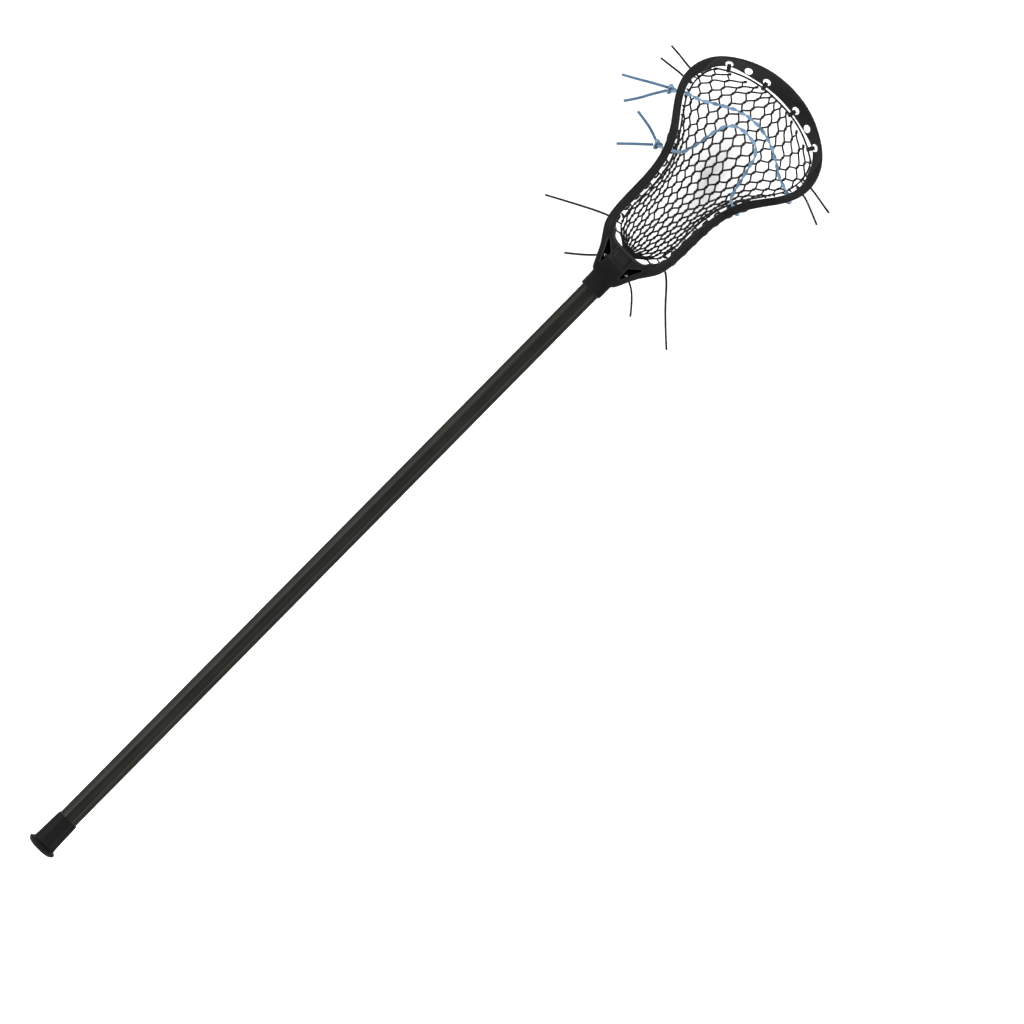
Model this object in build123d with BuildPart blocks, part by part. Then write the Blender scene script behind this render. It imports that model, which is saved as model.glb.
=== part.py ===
"""Strung lacrosse stick: octagonal shaft, moulded head, mesh pocket, strings and rubber end cap.

Frame: origin on the shaft's axis at the middle of the overall length, +X towards the head,
+Z out of the open face of the head, +Y to the knot side of the shooting strings. Millimetres.
"""
from build123d import *
from math import atan2, degrees, pi, radians, tan
import os

# ---- driving dimensions ----
OVERALL = 1090.0
HEAD_LENGTH = 290.0
HEAD_HALF_WIDTH = 87.0
SHAFT_WIDE = 21.4
SHAFT_DEEP = 24.2
SHAFT_WALL = 1.3
SOCKET_DEPTH = 40.0
CAP_LENGTH = 43.0
CAP_FLOOR = 8.0
CAP_CLEARANCE = 0.05
BLACK_STRING = 2.3
BLUE_LACE = 3.0
HOLE_COUNT = 16
HOLE_PITCH = 7.4
HOLE_D = 3.4

BUTT_X = -OVERALL / 2
SOCKET_X = OVERALL / 2 - HEAD_LENGTH
SHAFT_START = BUTT_X + CAP_FLOOR
SHAFT_END = SOCKET_X + SOCKET_DEPTH
FIRST_HOLE = 70.0
HOLE_Z = -20.2
THROAT_HOLE = (38.0, 14.6)
SCOOP_HOLES = [(263.2, 61.0), (271.4, 41.6), (276.6, 20.6)]
END_HOLES = [(224.0, -13.4), (234.0, -9.6)]
GAP = 0.3

# How far the outer and inner faces of the thin wall and of the lower rail lie inside the outline.
WALL_INSETS = (3.6, 6.4)
RAIL_INSETS = (3.0, 8.0)
BLOCK_INSET = 1.0

# Head profiles: h is the distance from the socket's mouth, the second value is a half width or a height.
OUTER_EDGE = [(0, 12.7), (18, 14.4), (40, 25.6), (61, 38.6), (78, 42.2), (127, 44.0), (153, 48.4),
              (178, 60.4), (206, 80.0), (227, HEAD_HALF_WIDTH), (252, 80.8), (275, 55.2), (HEAD_LENGTH, 0)]
INNER_EDGE = [(53, 0), (61.5, 24.5), (70, 30.4), (91, 33.0), (127, 34.4), (153, 39.2), (178, 49.8),
              (206, 70.4), (227, 77.6), (240, 74.4), (259, 61.5), (267.5, 41), (274, 0)]
TOP_LINE = [(0, 15.4), (39, 15.6), (69, 10.3), (116, 2.7), (153, -3.0), (186, -5.2), (204, -3.9),
            (219, 1.4), (234, 11.2), (256, 25.0), (273, 29.8), (HEAD_LENGTH, 25.6)]
BOTTOM_LINE = [(0, -13.9), (39, -17.5), (66, -22.7), (100, -25.2), (150, -26.4), (186, -26.0),
               (215, -21.0), (241, -10.5), (263, 4.6), (278, 12.2), (HEAD_LENGTH, 17.4)]
# Struts of the side wall between its windows: where each one starts and ends at mid height.
STRUTS = [(0, 68), (121, 136), (183.5, 194.5), (233, HEAD_LENGTH)]
STRUT_LEAN = 0.5
# Pocket stations: distance, half width, height of the laced edge, height of the lowest line.
POCKET = [(57, 12.0, -19.6, -21.6), (68, 24.6, -22.0, -25.0), (86, 28.4, -22.6, -29.0), (106, 29.4, -22.6, -37.0),
          (130, 30.4, -22.6, -49.0), (154, 34.0, -22.6, -57.2), (176, 43.6, -22.2, -53.4),
          (196, 56.0, -18.6, -34.0), (214, 66.0, -11.6, -20.0), (234, 66.0, 0.6, -9.0), (252, 58.0, 7.0, 1.6),
          (267, 34.0, 9.2, 7.2)]
MESH_THICK = 1.8

os.makedirs("parts", exist_ok=True)


def at(h, y, z):
    """A point of the head, with h measured from the socket's mouth."""
    return Vector(SOCKET_X + h, y, z)


def between(table, h, column=1):
    """Smooth interpolation in a table of stations: a cubic through them, level with its neighbours' slope."""
    last = len(table) - 1
    k = max(i for i in range(last) if i == 0 or table[i][0] <= h)
    low, high = table[k], table[k + 1]
    span = high[0] - low[0]

    def slope(i):
        before, after = table[max(i - 1, 0)], table[min(i + 1, last)]
        return (after[column] - before[column]) / (after[0] - before[0])

    t = (h - low[0]) / span
    rise = high[column] - low[column]
    bend = (slope(k) * span - rise) * (1 - t) + (rise - slope(k + 1) * span) * t
    return low[column] + t * rise + t * (1 - t) * bend


def save(part, name):
    part.label = name
    export_step(part, f"parts/{name}.step")


def octagon(wide, deep, corner=0.30):
    """Octagonal section in the YZ plane, its corners cut by a share of the half sizes."""
    cut = corner * min(wide, deep)
    points = []
    for sy, sz in ((1, 1), (-1, 1), (-1, -1), (1, -1)):
        first = (sy * wide / 2, sz * (deep / 2 - cut))
        second = (sy * (wide / 2 - cut), sz * deep / 2)
        points += [first, second] if sy * sz > 0 else [second, first]
    return Polyline(*points, close=True)


def inset(edge, amount):
    """The points of a plan outline, each moved inwards, square to the line through its neighbours."""
    moved = [(edge[0][0], edge[0][1] - amount)]
    for before, (h, y), after in zip(edge, edge[1:], edge[2:]):
        along_h = after[0] - before[0]
        along_y = after[1] - before[1]
        size = (along_h ** 2 + along_y ** 2) ** 0.5
        moved.append((h + amount * along_y / size, y - amount * along_h / size))
    moved.append((edge[-1][0] - amount, 0))
    return moved


def plan_solid(edge, low=-90.0, high=60.0):
    """A tall solid whose plan is the outline and its mirror image, closed across its start."""
    points = [(SOCKET_X + h, y) for h, y in reversed(edge)]
    start = (points[-1][0], 0)
    open_start = edge[0][1] > 0
    with BuildPart() as tall:
        with BuildSketch(Plane.XY.offset(low)):
            with BuildLine():
                Spline(*points, tangents=[(0, 1), (-1, 0) if open_start else (0, -1)])
                Line(start, points[0])
                if open_start:
                    Line(points[-1], start)
            make_face()
        extrude(amount=high - low)
        mirror(about=Plane.XZ)
    return tall.part


def side_solid(top, bottom, start, end):
    """The space between two height lines of the side view, as a solid that runs across the head."""
    def line(table, shift):
        inside = [(h, z) for h, z in table if start < h < end]
        ends = [(start, between(table, start)), (end, between(table, end))]
        return [(SOCKET_X + h, z + shift) for h, z in sorted(inside + ends)]

    upper = line(*top)
    lower = line(*bottom)
    with BuildPart() as slab:
        with BuildSketch(Plane.XZ.offset(-120)):
            with BuildLine():
                Spline(*upper)
                Line(upper[-1], lower[-1])
                Spline(*lower)
                Line(lower[0], upper[0])
            make_face()
        extrude(amount=240)
    return slab.part


def ring(outer_inset, inner, top, bottom, start, end):
    """One member of the head's frame: a ring in plan, held between two height lines."""
    member = plan_solid(inset(OUTER_EDGE, outer_inset)) - inner
    return member & side_solid(top, bottom, start, end)


def corner_radii(points, label):
    """Radius of each corner of a cord: 0.45 of the shorter run over the tangent of half the turn."""
    radii = []
    for before, corner, after in zip(points, points[1:], points[2:]):
        run_in = corner - before
        run_out = after - corner
        half_turn = radians(run_in.get_angle(run_out)) / 2
        radii.append(0.45 * min(run_in.length, run_out.length) / tan(half_turn))
    print(label, "radii", [round(r, 1) for r in radii])
    return radii


def tube(points, diameter, label, radii=None):
    """A cord: straight runs joined by tangent arcs, with a round section swept along them."""
    with BuildPart() as cord:
        with BuildLine() as route:
            if len(points) == 2:
                Line(*points)
            else:
                FilletPolyline(*points, radius=radii or corner_radii(points, label))
        with BuildSketch(Plane(origin=points[0], z_dir=points[1] - points[0])):
            Circle(diameter / 2)
        sweep()
    length = route.wires()[0].length
    expected = length * pi * diameter ** 2 / 4
    print(f"{label}: length {length:.1f}, volume {cord.part.volume:.0f} of {expected:.0f}")
    return cord.part


# ---- shaft: hollow octagonal tube, drilled underneath for the head's screw ----
SCREW_H = 22.0
SCREW_D = 3.6
SCREW_SEAT = -15.9
with BuildPart() as shaft:
    with BuildSketch(Plane.YZ.offset(SHAFT_START)):
        with BuildLine():
            octagon(SHAFT_WIDE, SHAFT_DEEP)
        make_face()
        with BuildLine():
            octagon(SHAFT_WIDE - 2 * SHAFT_WALL, SHAFT_DEEP - 2 * SHAFT_WALL)
        make_face(mode=Mode.SUBTRACT)
    extrude(amount=SHAFT_END - SHAFT_START)
    with Locations(Location((SOCKET_X + SCREW_H, 0, -SHAFT_DEEP / 2))):
        Cylinder(SCREW_D / 2 + 0.05, 4 * SHAFT_WALL, mode=Mode.SUBTRACT)
save(shaft.part, "shaft")

# ---- rubber end cap: domed flange, tapering octagonal sleeve, blind octagonal socket ----
FLANGE_R = 16.6
DOME_RISE = 3.2
FLANGE_THICK = 7.6
with BuildPart() as end_cap:
    with BuildSketch(Plane.XZ):
        with BuildLine():
            Polyline((BUTT_X, 0), (BUTT_X, 7.0))
            ThreePointArc((BUTT_X, 7.0), (BUTT_X + 0.9, 11.5), (BUTT_X + DOME_RISE, 15.2))
            ThreePointArc((BUTT_X + DOME_RISE, 15.2), (BUTT_X + DOME_RISE + 1.8, FLANGE_R),
                          (BUTT_X + FLANGE_THICK - 1, FLANGE_R - 0.7))
            Polyline((BUTT_X + FLANGE_THICK - 1, FLANGE_R - 0.7), (BUTT_X + FLANGE_THICK, 13.0),
                     (BUTT_X + FLANGE_THICK, 0), (BUTT_X, 0))
        make_face()
    revolve(axis=Axis((0, 0, 0), (1, 0, 0)))
    with BuildSketch(Plane.YZ.offset(BUTT_X + FLANGE_THICK - 2)):
        with BuildLine():
            octagon(25.4, 28.2)
        make_face()
    with BuildSketch(Plane.YZ.offset(BUTT_X + CAP_LENGTH)):
        with BuildLine():
            octagon(SHAFT_WIDE + 2.4, SHAFT_DEEP + 2.4)
        make_face()
    loft()
    with BuildSketch(Plane.YZ.offset(SHAFT_START)):
        with BuildLine():
            octagon(SHAFT_WIDE + 2 * CAP_CLEARANCE, SHAFT_DEEP + 2 * CAP_CLEARANCE)
        make_face()
    extrude(amount=CAP_LENGTH, mode=Mode.SUBTRACT)
save(end_cap.part, "end_cap")

# ---- head: top rim, thin wall, lower rail, throat block and scoop plate ----
RIM_DEPTH = 5.0
RAIL_HEIGHT = 8.6
throat_opening = plan_solid(INNER_EDGE)
wall_inside = plan_solid(inset(OUTER_EDGE, WALL_INSETS[1]))
rail_inside = plan_solid(inset(OUTER_EDGE, RAIL_INSETS[1]))
top_rim = ring(0, throat_opening, (TOP_LINE, 0), (TOP_LINE, -RIM_DEPTH), 0, HEAD_LENGTH)
side_wall = ring(WALL_INSETS[0], wall_inside, (TOP_LINE, -1), (BOTTOM_LINE, 2), 0, HEAD_LENGTH)
struts = []
for first, last in STRUTS:
    with BuildPart() as strut_space:
        with BuildSketch(Plane.XZ.offset(-120)):
            with BuildLine():
                lean_first = STRUT_LEAN if first > 0 and last < HEAD_LENGTH else 0
                lean_last = STRUT_LEAN if last < HEAD_LENGTH else 0
                Polyline((SOCKET_X + first - 50 * lean_first, 40), (SOCKET_X + last - 50 * lean_last, 40),
                         (SOCKET_X + last + 50 * lean_last, -60), (SOCKET_X + first + 50 * lean_first, -60),
                         close=True)
            make_face()
        extrude(amount=240)
    struts.append(side_wall & strut_space.part)
lower_rail = ring(RAIL_INSETS[0], rail_inside, (BOTTOM_LINE, RAIL_HEIGHT), (BOTTOM_LINE, 0), 0, HEAD_LENGTH)
throat_block = ring(BLOCK_INSET, throat_opening, (TOP_LINE, -0.6), (BOTTOM_LINE, 0), 0, 62)
scoop_block = ring(BLOCK_INSET, throat_opening, (TOP_LINE, -0.6), (BOTTOM_LINE, 0.4), 238, HEAD_LENGTH)

SCOOP_CENTRE = 179.4
SCOOP_R = HEAD_LENGTH - SCOOP_CENTRE
RAMP_IN = (80, 1.4)
RAMP_OUT = (SCOOP_R - 1.2, 27.6)
PLATE = 3.8


def scoop_cone(profile, arc):
    """A conical space about the scoop's centre line, open to both sides by half the arc."""
    with BuildPart() as cone:
        with BuildSketch(Plane.XZ):
            with BuildLine():
                Polyline(*profile, close=True)
            make_face()
        revolve(axis=Axis.Z, revolution_arc=arc)
    return cone.part.rotate(Axis.Z, -arc / 2).translate((SOCKET_X + SCOOP_CENTRE, 0, 0))


ramp_space = scoop_cone([RAMP_IN, RAMP_OUT, (RAMP_OUT[0], 60), (RAMP_IN[0], 60)], 100)
under_r = SCOOP_R - 6
under_z = RAMP_IN[1] + (under_r - RAMP_IN[0]) * (RAMP_OUT[1] - RAMP_IN[1]) / (RAMP_OUT[0] - RAMP_IN[0]) - PLATE
under_space = scoop_cone([(RAMP_IN[0], RAMP_IN[1] - PLATE), (under_r, under_z), (under_r, -60),
                          (RAMP_IN[0], -60)], 92)

with BuildPart() as head:
    add(top_rim)
    for strut in struts:
        add(strut)
    add(lower_rail)
    add(throat_block)
    add(scoop_block)
    add(ramp_space, mode=Mode.SUBTRACT)
    add(under_space, mode=Mode.SUBTRACT)
    # recesses in the throat, either side of the socket's nose
    with BuildSketch(Plane.XY.offset(-9)):
        for side in (1, -1):
            with BuildLine():
                Polyline((SOCKET_X + 25, side * 12.4), (SOCKET_X + 42.5, side * 12.4),
                         (SOCKET_X + 50, side * 21.0), (SOCKET_X + 53, side * 25.4),
                         (SOCKET_X + 42, side * 19.6), close=True)
            make_face()
    extrude(amount=40, mode=Mode.SUBTRACT)
    # saddle between the socket's nose and the rails
    with BuildSketch(Plane.XZ.offset(-9.6)):
        with BuildLine():
            Polyline((SOCKET_X + 30, 24), (SOCKET_X + 40, 13.2), (SOCKET_X + 50, 9.0), (SOCKET_X + 60, 9.0),
                     (SOCKET_X + 60, 24), close=True)
        make_face()
    extrude(amount=19.2, mode=Mode.SUBTRACT)
    # socket for the shaft
    with BuildSketch(Plane.YZ.offset(SOCKET_X)):
        with BuildLine():
            octagon(SHAFT_WIDE + 2 * CAP_CLEARANCE, SHAFT_DEEP + 2 * CAP_CLEARANCE)
        make_face()
    extrude(amount=SOCKET_DEPTH + 0.2, mode=Mode.SUBTRACT)
    # shallow panels on both flanks of the socket
    for side in (1, -1):
        with BuildSketch(Plane.XZ.offset(-side * 12.2)):
            with Locations((SOCKET_X + 21, 0.2)):
                RectangleRounded(26, 11, 1.5)
        extrude(amount=-side * 8, mode=Mode.SUBTRACT)
    # string holes through the rails, the throat's floor and the scoop
    with Locations(*[Location((SOCKET_X + FIRST_HOLE + k * HOLE_PITCH, 0, HOLE_Z), (90, 0, 0))
                     for k in range(HOLE_COUNT)]):
        Cylinder(HOLE_D / 2, 240, mode=Mode.SUBTRACT)
    with Locations(*[at(THROAT_HOLE[0], side * THROAT_HOLE[1], -12) for side in (1, -1)]):
        Cylinder(HOLE_D / 2, 16, mode=Mode.SUBTRACT)
    with BuildSketch(Plane.XY.offset(-5)):
        for h, y in SCOOP_HOLES:
            for side in (1, -1):
                turn = degrees(atan2(side * y, h - SCOOP_CENTRE))
                with Locations(Location((SOCKET_X + h, side * y, 0), (0, 0, turn + 90))):
                    Ellipse(4.2, 2.9)
    extrude(amount=50, mode=Mode.SUBTRACT)
    with Locations(*[Location((SOCKET_X + h, 0, z), (90, 0, 0)) for h, z in END_HOLES]):
        Cylinder(HOLE_D / 2, 240, mode=Mode.SUBTRACT)
    # screw hole and its head's seat, under the socket
    with Locations(Location((SOCKET_X + SCREW_H, 0, -14))):
        Cylinder(SCREW_D / 2 + 0.05, 8, mode=Mode.SUBTRACT)
print("head solids", len(head.part.solids()), round(head.part.volume))
save(head.part, "head")

# ---- screw that holds the head on the shaft ----
with BuildPart() as head_screw:
    with BuildSketch(Plane.XZ):
        with BuildLine():
            Polyline((0, -8.6), (0, -17.6), (2.2, -17.4), (3.2, -16.6), (3.4, SCREW_SEAT), (SCREW_D / 2, SCREW_SEAT),
                     (SCREW_D / 2, -9.6), (0.6, -8.6), close=True)
        make_face()
    revolve(axis=Axis.Z)
    with Locations(Location((0, 0, -17.4))):
        Box(4.2, 0.8, 1.2, mode=Mode.SUBTRACT)
        Box(0.8, 4.2, 1.2, mode=Mode.SUBTRACT)
save(head_screw.part.translate((SOCKET_X + SCREW_H, 0, 0)), "head_screw")

# ---- foam ball stop, stuck inside the throat's curve ----
STOP_THICK = 2.2
STOP_WIDTH = 52.0
STOP_HEIGHT = 15.0
with BuildPart() as ball_stop:
    add(throat_opening)
    add(throat_opening.translate((STOP_THICK, 0, 0)), mode=Mode.SUBTRACT)
    with Locations(at(52, 0, -7.0)):
        Box(34, STOP_WIDTH, STOP_HEIGHT, mode=Mode.INTERSECT)
save(ball_stop.part, "ball_stop")


# ---- mesh pocket: a thin bag hung from the rails, open at the top ----
def bag_section(station):
    """Cross-section of the bag at one station: a curved band as thick as the mesh, between two rims."""
    h, half, edge_z, low_z = station
    drop = edge_z - low_z
    shoulder = edge_z - 0.55 * drop
    within = half - MESH_THICK
    with BuildSketch(Plane.YZ.offset(SOCKET_X + h)) as section:
        with BuildLine():
            Spline((-half, edge_z), (-0.80 * half, shoulder), (0, low_z), (0.80 * half, shoulder), (half, edge_z))
            Line((half, edge_z), (within, edge_z))
            Spline((within, edge_z), (0.80 * within, shoulder + MESH_THICK), (0, low_z + MESH_THICK),
                   (-0.80 * within, shoulder + MESH_THICK), (-within, edge_z))
            Line((-within, edge_z), (-half, edge_z))
        make_face()
    return section.sketch


bag_sections = [bag_section(station) for station in POCKET]
with BuildPart() as mesh_pocket:
    loft(bag_sections)
print("pocket solids", len(mesh_pocket.part.solids()), round(mesh_pocket.part.volume))
save(mesh_pocket.part, "mesh_pocket")


def pocket_z(h, y):
    """Height of the bag's underside at a place in plan."""
    half, edge_z, low_z = (between(POCKET, h, column) for column in (1, 2, 3))
    share = min(abs(y) / half, 1.0)
    if share < 0.8:
        depth = 1 - 0.45 * (share / 0.8) ** 2
    else:
        depth = 0.55 * (1 - share) / 0.2
    return edge_z - (edge_z - low_z) * depth


def on_mesh(h, y, diameter):
    """A point of a lace that lies on the bag's inside."""
    return at(h, y, pocket_z(h, y) + MESH_THICK + diameter / 2 + GAP)


# ---- mesh tail: the braided end of the mesh, hanging under the throat ----
TAIL_WIDTH = 6.0
tail_route = [at(62, 0, -24.0), at(53, 0, -26.5), at(45.5, 0, -34), at(41.5, 0, -47), at(37.5, 0, -66)]
save(tube(tail_route, TAIL_WIDTH, "mesh_tail"), "mesh_tail")

# ---- top string: ties the mesh under the scoop ----
top_route = [at(251.6, 67, 9.5), at(260.4, 51.8, 10.4), at(267, 34.4, 11), at(270.6, 14, 11.2),
             at(270.6, -14, 11.2), at(267, -34.4, 11), at(260.4, -51.8, 10.4), at(251.6, -67, 9.5)]
save(tube(top_route, BLACK_STRING, "top_string"), "top_string")

# ---- sidewall strings: one running stitch through each lower rail ----
REACH = BLACK_STRING / 2 + 0.7
RAIL_OUT = inset(OUTER_EDGE, RAIL_INSETS[0])
RAIL_IN = inset(OUTER_EDGE, RAIL_INSETS[1])
hole_places = [FIRST_HOLE + k * HOLE_PITCH for k in range(HOLE_COUNT)]
for name, side in (("left", 1), ("right", -1)):
    stitch = []
    for k, h in enumerate(hole_places):
        outside = at(h, side * (between(RAIL_OUT, h) + REACH), HOLE_Z)
        inside = at(h, side * (between(RAIL_IN, h) - REACH), HOLE_Z)
        stitch += [inside, outside] if k % 2 else [outside, inside]
    stitch[0] = stitch[0] - Vector(0, side * REACH, 0)
    radii = [1.5] * (len(stitch) - 2)
    save(tube(stitch, BLACK_STRING, f"sidewall_string_{name}", radii), f"sidewall_string_{name}")

# ---- throat string: a loop under the throat that holds the mesh's narrow end ----
under_throat = -20.2
loop = [at(THROAT_HOLE[0], THROAT_HOLE[1], -6.0), at(THROAT_HOLE[0], THROAT_HOLE[1], under_throat),
        at(THROAT_HOLE[0], -THROAT_HOLE[1], under_throat), at(THROAT_HOLE[0], -THROAT_HOLE[1], -6.0)]
save(tube(loop, BLACK_STRING, "throat_string", [2.0, 2.0]), "throat_string")

# ---- shooting strings: two laces woven across the mesh and round the side walls ----
upper_plan = [(219, 56), (229, 38.5), (237.5, 20), (240.6, 2), (238.5, -18), (230, -38), (219, -56)]
upper_route = [at(206.5, 82.6, -22.6), at(208.5, 81.2, -11.5), at(213, 72.5, -7.6)]
upper_route += [on_mesh(h, y, BLUE_LACE) for h, y in upper_plan]
upper_route += [at(213, -72.5, -7.6), at(209.5, -80.6, -11.5), at(207.5, -80.4, -25.2), at(206, -73.5, -27.5)]
lower_plan = [(170, 33), (187, 28.2), (204, 24.8), (218.6, 19), (226, 9), (226.8, -4.5), (224.5, -15.6),
              (216.4, -23.2), (203, -26.9), (187, -31), (171, -35.6)]
lower_route = [at(156.6, 52.8, -25.0), at(157.2, 50.6, -13.6), at(160.5, 42.5, -12.4)]
lower_route += [on_mesh(h, y, BLUE_LACE) for h, y in lower_plan]
lower_route += [at(164.5, -44.5, -12.4), at(163, -51.6, -13.6), at(162.5, -51.2, -28.6), at(162, -44.5, -30.6)]
save(tube(upper_route, BLUE_LACE, "shooting_string_upper"), "shooting_string_upper")
save(tube(lower_route, BLUE_LACE, "shooting_string_lower"), "shooting_string_lower")

# ---- knots of the shooting strings, outside the left wall ----
KNOTS = {"upper": at(206.4, 86.4, -27.4), "lower": at(156.6, 56.6, -29.6)}
for name, centre in KNOTS.items():
    with BuildPart() as knot:
        with BuildSketch(Plane(centre, x_dir=(1, 0, 0), z_dir=(0, -1, 0))):
            Ellipse(5.8, 5.0)
            with Locations((0, -10)):
                Rectangle(20, 20, mode=Mode.SUBTRACT)
        revolve(axis=Axis(centre, (1, 0, 0)))
    save(knot.part, f"shooting_knot_{name}")

# ---- loose string ends ----
string_ends = {
    "left_long_end": [at(70, between(RAIL_OUT, 70), HOLE_Z), at(67, 47, -19.8), at(53, 75, -21.4),
                      at(38.6, 102.4, -24.5)],
    "right_long_end": [at(70, -between(RAIL_OUT, 70), HOLE_Z), at(66.5, -46, -19.8), at(38, -70, -19.4),
                       at(12.6, -98, -21)],
    "left_short_end": [at(37, 16.5, -20.6), at(29.5, 23.5, -21.6), at(20, 34, -24), at(10.4, 46.6, -28)],
    "right_short_end": [at(37, -16.5, -20.6), at(34.8, -25, -22), at(23.5, -38, -26.5),
                        at(11.4, -47.4, -33)],
    "left_scoop_end_1": [at(224, 75.6, -13.4), at(224, 90, -13.6), at(222.2, 103.5, -15.4),
                         at(221.2, 116.2, -18.4)],
    "left_scoop_end_2": [at(234, 74.6, -9.6), at(234, 90, -10), at(236.4, 103.6, -12), at(237.4, 117, -15)],
    "right_scoop_end_1": [at(224, -75.6, -13.4), at(224, -86.5, -13.6), at(217.6, -103, -15.4),
                          at(211.6, -117.4, -18.4)],
    "right_scoop_end_2": [at(234, -74.6, -9.6), at(234, -86, -10), at(231, -103.6, -12),
                          at(228.8, -117.6, -15)],
}
lace_ends = {
    "upper_lace_end_1": [at(205.4, 90.6, -30), at(199.5, 103, -37), at(191.6, 117.6, -44),
                         at(183.4, 133.6, -50)],
    "upper_lace_end_2": [at(202.4, 89.0, -30.6), at(190, 97.4, -37), at(177, 104.6, -44),
                         at(165.4, 113.4, -49)],
    "lower_lace_end_1": [at(158.4, 60.6, -32), at(163, 71.6, -36), at(165.6, 83.4, -40.4),
                         at(167.4, 95.2, -43.5)],
    "lower_lace_end_2": [at(153.2, 60.2, -32), at(146.4, 68, -36), at(138.6, 77, -41), at(128.8, 87.6, -46)],
}
for name, route in string_ends.items():
    save(tube(route, BLACK_STRING, name), name)
for name, route in lace_ends.items():
    save(tube(route, BLUE_LACE, name), name)
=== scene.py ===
import math

import bmesh
import bpy
import numpy as np
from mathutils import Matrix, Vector


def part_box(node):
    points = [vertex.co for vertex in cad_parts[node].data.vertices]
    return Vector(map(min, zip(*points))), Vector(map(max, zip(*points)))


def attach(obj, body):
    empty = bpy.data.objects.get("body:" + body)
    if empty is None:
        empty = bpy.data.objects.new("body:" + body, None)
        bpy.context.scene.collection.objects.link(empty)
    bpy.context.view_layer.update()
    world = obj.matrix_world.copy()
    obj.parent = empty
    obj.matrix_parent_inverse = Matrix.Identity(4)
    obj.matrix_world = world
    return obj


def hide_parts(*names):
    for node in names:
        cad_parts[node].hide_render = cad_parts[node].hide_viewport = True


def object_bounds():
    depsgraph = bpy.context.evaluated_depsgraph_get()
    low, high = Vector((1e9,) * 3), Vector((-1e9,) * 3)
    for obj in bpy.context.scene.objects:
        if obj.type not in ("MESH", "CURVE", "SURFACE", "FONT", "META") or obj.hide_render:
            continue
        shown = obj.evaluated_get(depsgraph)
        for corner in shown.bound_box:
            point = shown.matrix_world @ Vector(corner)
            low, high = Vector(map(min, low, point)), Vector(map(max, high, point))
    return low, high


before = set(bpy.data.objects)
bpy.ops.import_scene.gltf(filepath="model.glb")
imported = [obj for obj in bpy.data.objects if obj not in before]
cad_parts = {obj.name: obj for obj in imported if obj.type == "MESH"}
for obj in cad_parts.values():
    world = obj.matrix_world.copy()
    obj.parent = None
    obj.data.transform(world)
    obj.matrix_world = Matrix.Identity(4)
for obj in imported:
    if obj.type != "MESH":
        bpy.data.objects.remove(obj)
cad_low, cad_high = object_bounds()

# ---------------------------------------------------------------------------
# Camera, floor and light. The stick lies level with its open face up; a long
# lens looks straight down on it and is turned so that the head points to the
# upper right corner.
# ---------------------------------------------------------------------------
STICK_ANGLE = math.radians(45.353)
FRAME_SPAN = 1.0441
CENTRE_ALONG, CENTRE_ACROSS = 0.0387, -0.1019
LENS_MM, SENSOR_MM = 200.0, 36.0

camera_data = bpy.data.cameras.new("camera")
camera_data.lens = LENS_MM
camera_data.sensor_width = SENSOR_MM
camera_data.clip_end = 50.0
camera = bpy.data.objects.new("camera", camera_data)
camera.location = (CENTRE_ALONG, CENTRE_ACROSS, FRAME_SPAN * LENS_MM / SENSOR_MM)
camera.rotation_euler = (0.0, 0.0, -STICK_ANGLE)
bpy.context.scene.collection.objects.link(camera)
bpy.context.scene.camera = camera


def area_light(name, place, aim, size, watts):
    """A square soft box at place that points at aim."""
    data = bpy.data.lights.new(name, "AREA")
    data.energy = watts
    data.size = size
    lamp = bpy.data.objects.new(name, data)
    lamp.location = place
    lamp.rotation_euler = (Vector(aim) - Vector(place)).to_track_quat("-Z", "Y").to_euler()
    bpy.context.scene.collection.objects.link(lamp)


area_light("key", (-0.9, 2.4, 2.2), (0.1, 0.0, 0.0), 1.8, 150.0)
area_light("fill", (2.2, -1.5, 2.0), (0.1, 0.0, 0.0), 1.8, 100.0)
area_light("back", (-2.2, -1.8, 1.6), (0.0, 0.0, 0.0), 1.6, 70.0)

# The studio is white near its walls and darker overhead, so black pieces stay black from above.
world = bpy.data.worlds.new("studio")
world.use_nodes = True
sky_tree = world.node_tree
sky_split = sky_tree.nodes.new("ShaderNodeSeparateXYZ")
sky_tree.links.new(sky_tree.nodes.new("ShaderNodeTexCoord").outputs["Generated"], sky_split.inputs["Vector"])
sky_ramp = sky_tree.nodes.new("ShaderNodeValToRGB")
sky_ramp.color_ramp.elements[0].position = 0.55
sky_ramp.color_ramp.elements[0].color = (1.0, 1.0, 1.0, 1.0)
sky_ramp.color_ramp.elements[1].position = 0.95
sky_ramp.color_ramp.elements[1].color = (0.04, 0.04, 0.04, 1.0)
sky_tree.links.new(sky_split.outputs["Z"], sky_ramp.inputs["Fac"])
sky_tree.links.new(sky_ramp.outputs["Color"], sky_tree.nodes["Background"].inputs["Color"])
sky_tree.nodes["Background"].inputs["Strength"].default_value = 0.9
bpy.context.scene.world = world
bpy.context.scene.view_settings.view_transform = "Standard"

FLOOR_HALF, FLOOR_GAP = 8.0, 0.002
floor_z = cad_low[2] - FLOOR_GAP
floor_corners = [(FLOOR_HALF * x, FLOOR_HALF * y, floor_z) for x, y in ((-1, -1), (1, -1), (1, 1), (-1, 1))]
floor_mesh = bpy.data.meshes.new("floor")
floor_mesh.from_pydata(floor_corners, [], [(0, 1, 2, 3)])
floor = bpy.data.objects.new("floor", floor_mesh)
bpy.context.scene.collection.objects.link(floor)
paper = bpy.data.materials.new("white paper")
paper.use_nodes = True
paper.node_tree.nodes["Principled BSDF"].inputs["Base Color"].default_value = (0.95, 0.95, 0.95, 1.0)
paper.node_tree.nodes["Principled BSDF"].inputs["Roughness"].default_value = 0.9
floor_mesh.materials.append(paper)

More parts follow.
